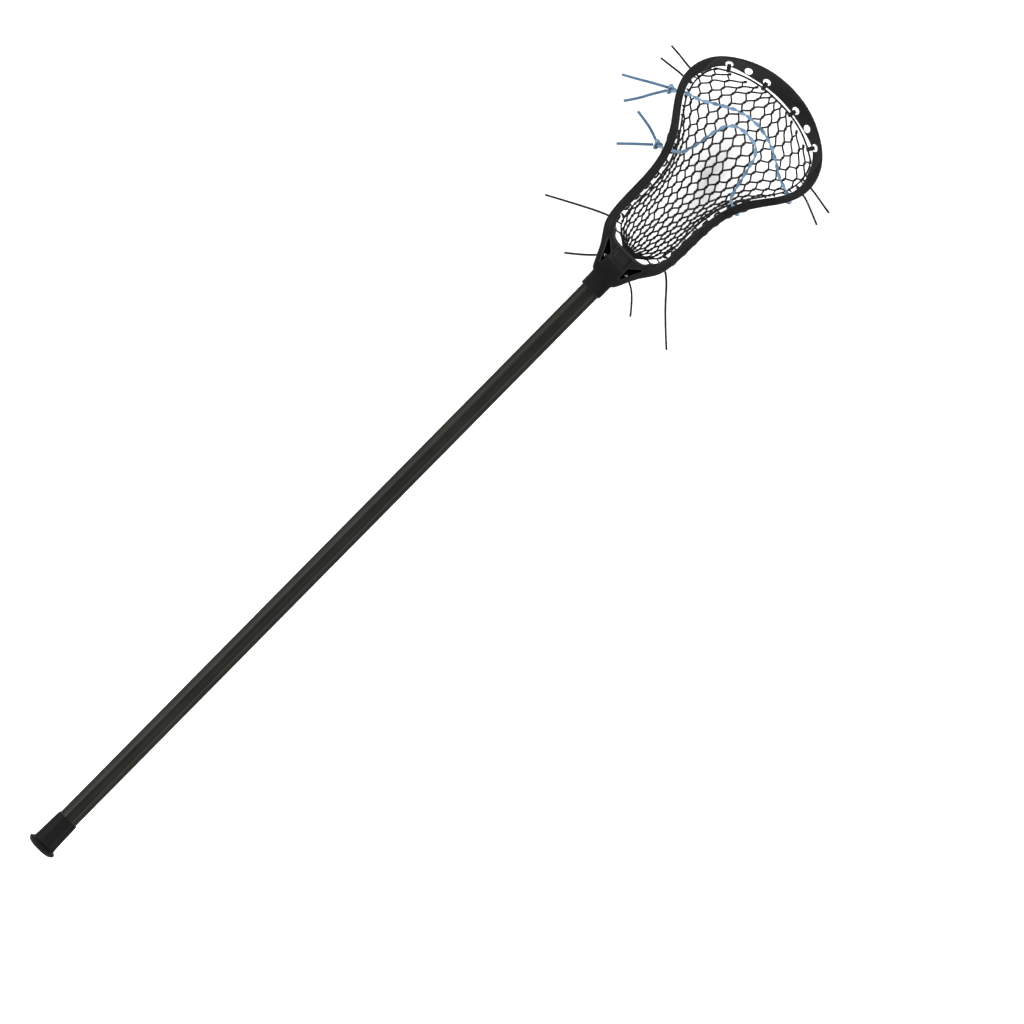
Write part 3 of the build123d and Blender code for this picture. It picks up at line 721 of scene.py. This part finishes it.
def knot_place(row, col):
    """(h, t) of the knot in that row and column, each slightly off the even lattice."""
    t = col / HALF_COLUMNS
    t = np.clip(t + column_shift[row, col + HALF_COLUMNS] * (np.abs(col) < HALF_COLUMNS), -1, 1)
    return row_place(row, t) + row_shift[row, col + HALF_COLUMNS], t


knot_h, knot_t = knot_place(knot_rows, knot_cols)
pitch = row_place(knot_rows + 1, knot_t) - row_place(knot_rows, knot_t)
steps = np.linspace(-1, 1, 6)[None, :]
knot_paths = pocket_surface(knot_h[:, None] + steps * (KNOT_REACH * pitch)[:, None], knot_t[:, None])
knot_radii = [KNOT_END_R, KNOT_R, KNOT_WAIST * KNOT_R, KNOT_WAIST * KNOT_R, KNOT_R, KNOT_END_R]
knots = strand_tubes(knot_paths, knot_radii, 8)

link_rows, link_cols, link_next = [], [], []
for way in (-1, 1):
    keep = (knot_rows < MESH_ROWS) & (np.abs(knot_cols + way) <= HALF_COLUMNS)
    link_rows.append(knot_rows[keep])
    link_cols.append(knot_cols[keep])
    link_next.append(knot_cols[keep] + way)
link_rows, link_cols, link_next = (np.concatenate(a) for a in (link_rows, link_cols, link_next))
start_h, start_t = knot_place(link_rows, link_cols)
end_h, end_t = knot_place(link_rows + 1, link_next)
start_pitch = row_place(link_rows + 1, start_t) - row_place(link_rows, start_t)
end_pitch = row_place(link_rows + 1, end_t) - row_place(link_rows, end_t)
start_h = start_h + KNOT_REACH * LINK_START * start_pitch
end_h = end_h - KNOT_REACH * LINK_START * end_pitch
s = np.linspace(0, 1, 7)[None, :]
ease = s - 0.10 * np.sin(2 * np.pi * s)
link_paths = pocket_surface(start_h[:, None] * (1 - s) + end_h[:, None] * s,
                            start_t[:, None] * (1 - ease) + end_t[:, None] * ease)
link_paths += rng.normal(0, SLACK, (len(link_paths), 1, 3)) * np.sin(np.pi * s)[:, :, None]
links = strand_tubes(link_paths, STRAND_R, 6)


def knitted_nylon(name):
    """Matt black knitted nylon: twisted yarn seen as small slanting cells, with a fine fuzz in its surface.
    """
    material, tree, shader = new_material(name)
    place = object_place(tree)
    yarn = texture(tree, "Voronoi", place, Scale=1500.0)
    fuzz = texture(tree, "Noise", place, Scale=4200.0, Detail=3.0)
    dye = texture(tree, "Noise", place, Scale=70.0, Detail=2.0)
    # Painted shade: the colour is lighter in the middle of each yarn cell and darker at its edges, between
    # the twists.
    drive(tree, shader, "Base Color", yarn.outputs["Distance"], [(0.2, (0.014, 0.014, 0.015)), (0.8, 0.004)])
    drive(tree, shader, "Roughness", dye.outputs["Fac"], [(0.3, 0.65), (0.7, 0.9)])
    shader.inputs["Specular IOR Level"].default_value = 0.15
    shader.inputs["Sheen Weight"].default_value = 0.04
    bump(tree, shader, [(yarn.outputs["Distance"], 0.6), (fuzz.outputs["Fac"], 0.3)], 0.0003)
    return material


# The mesh's edge is bound with a cord, and short ties hold it to the string along the rail.
edge_h = np.linspace(0.079, 0.2515, 120)
edge_paths = np.stack([pocket_surface(edge_h, side) for side in (-1.0, 1.0)]) + np.array([0.0, 0.0, 0.0004])
edge_cords = strand_tubes(edge_paths, EDGE_CORD_R, 8)

TIE_INSET = 9.4
TIE_RISE, TIE_TOP, TIE_BEND = 0.0022, 0.012, 0.0012
throat_ties = np.linspace(0.0645, 0.0875, 4)
rail_ties = 0.0774 + 0.0148 * np.arange(8)
scoop_ties = np.linspace(0.194, 0.246, 8)
tie_h = np.concatenate([throat_ties, rail_ties, scoop_ties])
tie_shift = rng.normal(0, TIE_JITTER, len(tie_h))
tie_paths = []
for side in (-1.0, 1.0):
    for start, shift in zip(tie_h, tie_shift):
        net_side = pocket_surface(start, side)
        rail = rail_place(1000 * (start + shift), TIE_INSET, side, 0.0)
        rail[2] = min(net_side[2] + TIE_RISE, TIE_TOP)
        t = np.linspace(0, 1, 6)[:, None]
        tie_paths.append(net_side * (1 - t) + rail * t + np.array([0.0, 0.0, TIE_BEND]) * np.sin(np.pi * t))
ties = strand_tubes(np.stack(tie_paths), TIE_R, 6, TIE_UP)
net_points, net_faces = join_parts([knots, links, edge_cords, ties])
net = make_piece("knitted_mesh_pocket", net_points, net_faces, knitted_nylon("black knitted nylon"))
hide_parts("mesh_pocket")
strand_area = 2 * np.pi * STRAND_R * np.linalg.norm(np.diff(link_paths, axis=1), axis=2).sum()
strand_area += 2 * np.pi * KNOT_R * np.linalg.norm(np.diff(knot_paths, axis=1), axis=2).sum()

# ---------------------------------------------------------------------------
# Black strings. Braided nylon, 2.3 mm: a running stitch along each lower rail
# that the mesh is laced to, a loop under the throat, and a top string that
# wraps the mesh's last row to the scoop through its holes.
# ---------------------------------------------------------------------------
HOLE_COUNT, HOLE_PITCH, FIRST_HOLE, HOLE_Z = 16, 7.4, 70.0, -20.2
RAIL_OUT, RAIL_IN = 3.0, 8.0
STITCH_REACH, STITCH_SIDE = 1.85, 0.9
THROAT_HOLE_H, THROAT_HOLE_Y = 38.0, 14.6
# Each scoop hole's place, with the radius about the scoop's centre at which the top string passes it.
SCOOP_HOLES = [(263.2, 61.0, 97.4), (276.6, 20.6, 92.8)]
SCOOP_CENTRE, RAMP_R, RAMP_Z, RAMP_RISE = 179.4, 80.0, 1.4, 0.891
WRAP_OVER, WRAP_UNDER = 1.3, 10.2
WRAP_OUT, WRAP_IN, WRAP_SIDE, WRAP_TILT = 0.9, 1.5, 0.9, 0.6
PATH_STEP = 0.0008
BRAID_TWIST = 0.006


def run_along(path):
    """Distance along a path at each of its points."""
    return np.concatenate([[0], np.cumsum(np.linalg.norm(np.diff(path, axis=0), axis=1))])


def smooth_path(points):
    """Even points along a smooth curve (Catmull-Rom) through the given points, which are metres."""
    p = np.asarray(points, float)
    padded = np.vstack([2 * p[0] - p[1], p, 2 * p[-1] - p[-2]])
    t = np.linspace(0, 1, 24, endpoint=False)[:, None]
    pieces = []
    for a, b, c, d in zip(padded, padded[1:], padded[2:], padded[3:]):
        square, cube = 2 * a - 5 * b + 4 * c - d, 3 * b - a - 3 * c + d
        pieces.append(0.5 * (2 * b + (c - a) * t + square * t ** 2 + cube * t ** 3))
    curve = np.vstack(pieces + [p[-1:]])
    run = run_along(curve)
    even = np.linspace(0, run[-1], max(int(run[-1] / PATH_STEP), 3) + 1)
    return np.column_stack([np.interp(even, run, curve[:, axis]) for axis in range(3)])


def swept_section(path, section, twist, side):
    """Rings of a section (k, 2) carried along a path without twisting, then turned by twist(s) radians."""
    ahead = np.gradient(path, axis=0)
    ahead /= np.linalg.norm(ahead, axis=1)[:, None]
    across = np.empty_like(path)
    frame_side = np.asarray(side, float)
    for i, way in enumerate(ahead):
        frame_side = frame_side - frame_side.dot(way) * way
        frame_side = frame_side / np.linalg.norm(frame_side)
        across[i] = frame_side
    up = np.cross(ahead, across)
    run = run_along(path)
    turn = twist(run)[:, None]
    first = across * np.cos(turn) + up * np.sin(turn)
    second = -across * np.sin(turn) + up * np.cos(turn)
    points = path[:, None] + section[:, :1] * first[:, None] + section[:, 1:] * second[:, None]
    return points.reshape(-1, 3), run


def ring_section(radius, lobes, depth, count):
    """A round section with shallow lobes, as a braid has."""
    angle = np.linspace(0, 2 * np.pi, count, endpoint=False)
    r = radius * (1 - depth + depth * np.abs(np.cos(lobes * angle / 2)))
    return np.column_stack([r * np.cos(angle), r * np.sin(angle)])


round_string = ring_section(STRING_D / 2, 4, 0.12, 16)


def string_piece(routes, name, node):
    """One object of several swept strings, one for each route of points in metres."""
    parts = []
    for route in routes:
        path = smooth_path(route)
        points, _ = swept_section(path, round_string, lambda run: 2 * np.pi * run / BRAID_TWIST,
                                  (0.1, 0.2, 1.0))
        parts.append((points, capped_faces(len(path), len(round_string))))
    points, faces = join_parts(parts)
    piece = make_piece(name, points, faces, black_braid)
    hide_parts(node)


def with_mirror(half):
    """A route in metres whose second half mirrors the first; a middle point on the axis comes once."""
    return [head_point(*place) for place in half + [(h, -y, z) for h, y, z in half[::-1] if y]]


for name, side in (("left", 1), ("right", -1)):
    stitch = [rail_place(FIRST_HOLE, RAIL_OUT, side, HOLE_Z)]
    for k in range(HOLE_COUNT):
        h_k = FIRST_HOLE + k * HOLE_PITCH
        first, second = RAIL_OUT - STITCH_REACH, RAIL_IN + STITCH_REACH
        if k % 2:
            first, second = second, first
        if k:
            stitch.append(rail_place(h_k - STITCH_SIDE, first, side, HOLE_Z))
        stitch.append(rail_place(h_k, (RAIL_OUT + RAIL_IN) / 2, side, HOLE_Z))
        if k < HOLE_COUNT - 1:
            stitch.append(rail_place(h_k + STITCH_SIDE, second, side, HOLE_Z))
    string_piece([stitch], "laced_sidewall_string_" + name, "sidewall_string_" + name)

throat_half = [(THROAT_HOLE_H, THROAT_HOLE_Y, -6.4), (THROAT_HOLE_H, THROAT_HOLE_Y, -17.5),
               (THROAT_HOLE_H + 0.2, THROAT_HOLE_Y - 2.4, HOLE_Z), (THROAT_HOLE_H + 0.3, 0, HOLE_Z)]
string_piece([with_mirror(throat_half)], "tied_throat_string", "throat_string")

top_half = [(251.6, 67, 9.5), (260.4, 51.8, 10.4), (267, 34.4, 11), (270.6, 14, 11.2)]
wraps = []
for h_hole, y_hole, string_r in SCOOP_HOLES:
    for side in (1, -1):
        bearing = math.atan2(side * y_hole, h_hole - SCOOP_CENTRE)
        outer_r = math.hypot(y_hole, h_hole - SCOOP_CENTRE) - WRAP_OUT
        inner_r = string_r - WRAP_IN
        middle_r, half_r = (outer_r + inner_r) / 2, (outer_r - inner_r) / 2
        over_z = RAMP_Z + (middle_r - RAMP_R) * RAMP_RISE + WRAP_OVER
        for lean in (-WRAP_SIDE, WRAP_SIDE):
            turn = np.linspace(0, 2 * np.pi, 17)
            r = middle_r + half_r * np.cos(turn)
            across = lean * (1 + 0.4 * np.sin(turn))
            z = (over_z + WRAP_UNDER) / 2 + (over_z - WRAP_UNDER) / 2 * np.sin(turn)
            z += RAMP_RISE * half_r * np.cos(turn) * WRAP_TILT
            h_loop = SCOOP_CENTRE + r * math.cos(bearing) - across * math.sin(bearing)
            y_loop = r * math.sin(bearing) + across * math.cos(bearing)
            wraps.append([head_point(*place) for place in zip(h_loop, y_loop, z)])
string_piece([with_mirror(top_half)] + wraps, "tied_top_string", "top_string")

# ---------------------------------------------------------------------------
# Shooting strings. Flat woven polyester laces in light blue, threaded in and
# out of the mesh, twisting as they go; they leave through the side walls and
# are tied off outside the left one.
# ---------------------------------------------------------------------------
LACE_WIDE, LACE_THICK = 0.0040, 0.0016
LACE_TWIST_PITCH = 0.021
WEAVE_DEPTH, WEAVE_PITCH = 0.0012, 0.0145
WEAVE_MARGIN, WEAVE_FADE = 0.022, 0.010


def lace_material(name):
    """Flat weave: chevrons of light and darker blue yarn along the lace, with fuzz and a soft sheen."""
    material, tree, shader = new_material(name)
    split = tree.nodes.new("ShaderNodeSeparateXYZ")
    tree.links.new(tree.nodes.new("ShaderNodeTexCoord").outputs["UV"], split.inputs["Vector"])
    fold = tree.nodes.new("ShaderNodeMath")
    fold.operation = "PINGPONG"
    fold.inputs[1].default_value = 0.25
    tree.links.new(split.outputs["Y"], fold.inputs[0])
    join = tree.nodes.new("ShaderNodeCombineXYZ")
    tree.links.new(multiply_add(tree, fold.outputs[0], 0.012, split.outputs["X"]), join.inputs["X"])
    yarn = texture(tree, "Wave", join.outputs["Vector"], Scale=190.0, Distortion=0.6, Detail=1.0)
    place = object_place(tree)
    fuzz = texture(tree, "Noise", place, Scale=2400.0, Detail=3.0)
    drift = texture(tree, "Noise", place, Scale=90.0, Detail=3.0)
    shade = multiply_add(tree, yarn.outputs["Fac"], 0.55, drift.outputs["Fac"])
    blues = [(0.35, (0.028, 0.050, 0.105)), (0.65, (0.085, 0.160, 0.250)), (1.0, (0.155, 0.260, 0.370))]
    drive(tree, shader, "Base Color", shade, blues)
    drive(tree, shader, "Roughness", fuzz.outputs["Fac"], [(0.3, 0.6), (0.7, 0.85)])
    shader.inputs["Sheen Weight"].default_value = 0.15
    shader.inputs["Specular IOR Level"].default_value = 0.3
    bump(tree, shader, [(yarn.outputs["Fac"], 0.5), (fuzz.outputs["Fac"], 0.3)], 0.0003)
    return material


def flat_section(wide, thick, count=20):
    """A flat lace's section: a rounded rectangle by the superellipse |y/a|^3 + |z/b|^3 = 1."""
    angle = np.linspace(0, 2 * np.pi, count, endpoint=False)
    circle = np.column_stack([np.cos(angle), np.sin(angle)])
    return np.sign(circle) * np.abs(circle) ** (2 / 3) * np.array([wide, thick]) / 2


def lace_uv(piece, rows_at, count):
    """A UV map on the swept faces: metres along the lace in X, the share round its section in Y."""
    layer = piece.data.uv_layers.new(name="lace")
    corner_vertex = np.zeros(len(piece.data.loops), dtype=np.int64)
    piece.data.loops.foreach_get("vertex_index", corner_vertex)
    uv = np.column_stack([rows_at[corner_vertex // count], (corner_vertex % count) / count])
    layer.data.foreach_set("uv", uv.ravel())


def woven_piece(name, node, path, section, twist, side):
    """A flat woven lace swept along a path, with its weave laid along it."""
    points, run = swept_section(path, section, twist, side)
    piece = make_piece(name, points, capped_faces(len(path), len(section)), lace_weave)
    lace_uv(piece, run, len(section))
    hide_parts(node)


def lace_piece(name, node, points, twist):
    """A shooting string: a flat lace through its points that weaves up and down where it crosses the mesh."""
    path = smooth_path(points)
    across = np.abs(path[:, 1])
    inside = np.clip((across.max() - WEAVE_MARGIN - across) / WEAVE_FADE, 0, 1)
    path[:, 2] += WEAVE_DEPTH * inside * np.sin(2 * np.pi * run_along(path) / WEAVE_PITCH)
    woven_piece(name, node, path, flat_section(LACE_WIDE, LACE_THICK), twist, (0.0, 0.0, 1.0))


def on_mesh(h_mm, y_mm):
    """A lace point resting on the inside of the mesh at a place in plan, in metres."""
    h_m, y_m = h_mm / 1000, y_mm / 1000
    half, edge_z, low_z = (float(hermite(POCKET, h_m, column)) for column in (1, 2, 3))
    u = min(abs(y_m) / half, 1.0)
    return (MOUTH_X + h_m, y_m, edge_z - (edge_z - low_z) * sag(u) + LACE_THICK)


lace_weave = lace_material("light blue woven lace")
# Each lace: through the left wall, over the mesh in plan, then out through the right wall.
upper_in = [(206.5, 82.6, -22.6), (208.5, 81.2, -11.5), (213, 72.5, -7.6)]
upper_over = [(219, 56), (229, 38.5), (237.5, 20), (240.6, 2), (238.5, -18), (230, -38), (219, -56)]
upper_out = [(213, -72.5, -7.6), (209.5, -80.6, -11.5), (207.5, -80.4, -25.2), (206, -73.5, -27.5)]
lower_in = [(156.6, 52.8, -25.0), (157.2, 50.6, -13.6), (160.5, 42.5, -12.4)]
lower_over = [(170, 33), (187, 28.2), (204, 24.8), (218.6, 19), (226, 9), (226.8, -4.5), (224.5, -15.6),
              (216.4, -23.2), (203, -26.9), (187, -31), (171, -35.6)]
lower_out = [(164.5, -44.5, -12.4), (163, -51.6, -13.6), (162.5, -51.2, -28.6), (162, -44.5, -30.6)]


def lace_route(way_in, over, way_out):
    """The points of one lace in metres."""
    start, end = ([head_point(*place) for place in way] for way in (way_in, way_out))
    return start + [on_mesh(*place) for place in over] + end


upper_lace = lace_route(upper_in, upper_over, upper_out)
lower_lace = lace_route(lower_in, lower_over, lower_out)
lace_piece("woven_shooting_string_upper", "shooting_string_upper", upper_lace,
           lambda run: 2 * np.pi * run / LACE_TWIST_PITCH)
lace_piece("woven_shooting_string_lower", "shooting_string_lower", lower_lace,
           lambda run: 1.0 + 2 * np.pi * run / (1.3 * LACE_TWIST_PITCH))

# ---------------------------------------------------------------------------
# Knots of the shooting strings. The flat lace is tied over itself against
# the outside of the left wall and pulled tight, in the shape of a trefoil.
# ---------------------------------------------------------------------------
KNOT_LACE_WIDE, KNOT_LACE_THICK = 0.0040, 0.0024
KNOT_MARGIN, KNOT_TWIST_PITCH = 0.0016, 0.05

for name in ("upper", "lower"):
    low, high = (np.array(corner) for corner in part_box("shooting_knot_" + name))
    t = np.linspace(0, 2 * np.pi, 97)
    trefoil = np.column_stack([np.cos(t) - 2 * np.cos(2 * t), np.sin(t) + 2 * np.sin(2 * t), -np.sin(3 * t)])
    reach = (high - low) / 2 - KNOT_MARGIN
    path = (low + high) / 2 + trefoil / np.abs(trefoil).max(axis=0) * reach
    woven_piece("tied_knot_" + name, "shooting_knot_" + name, path,
                flat_section(KNOT_LACE_WIDE, KNOT_LACE_THICK, 12),
                lambda run: 2 * np.pi * run / KNOT_TWIST_PITCH, (0.0, 0.3, 1.0))
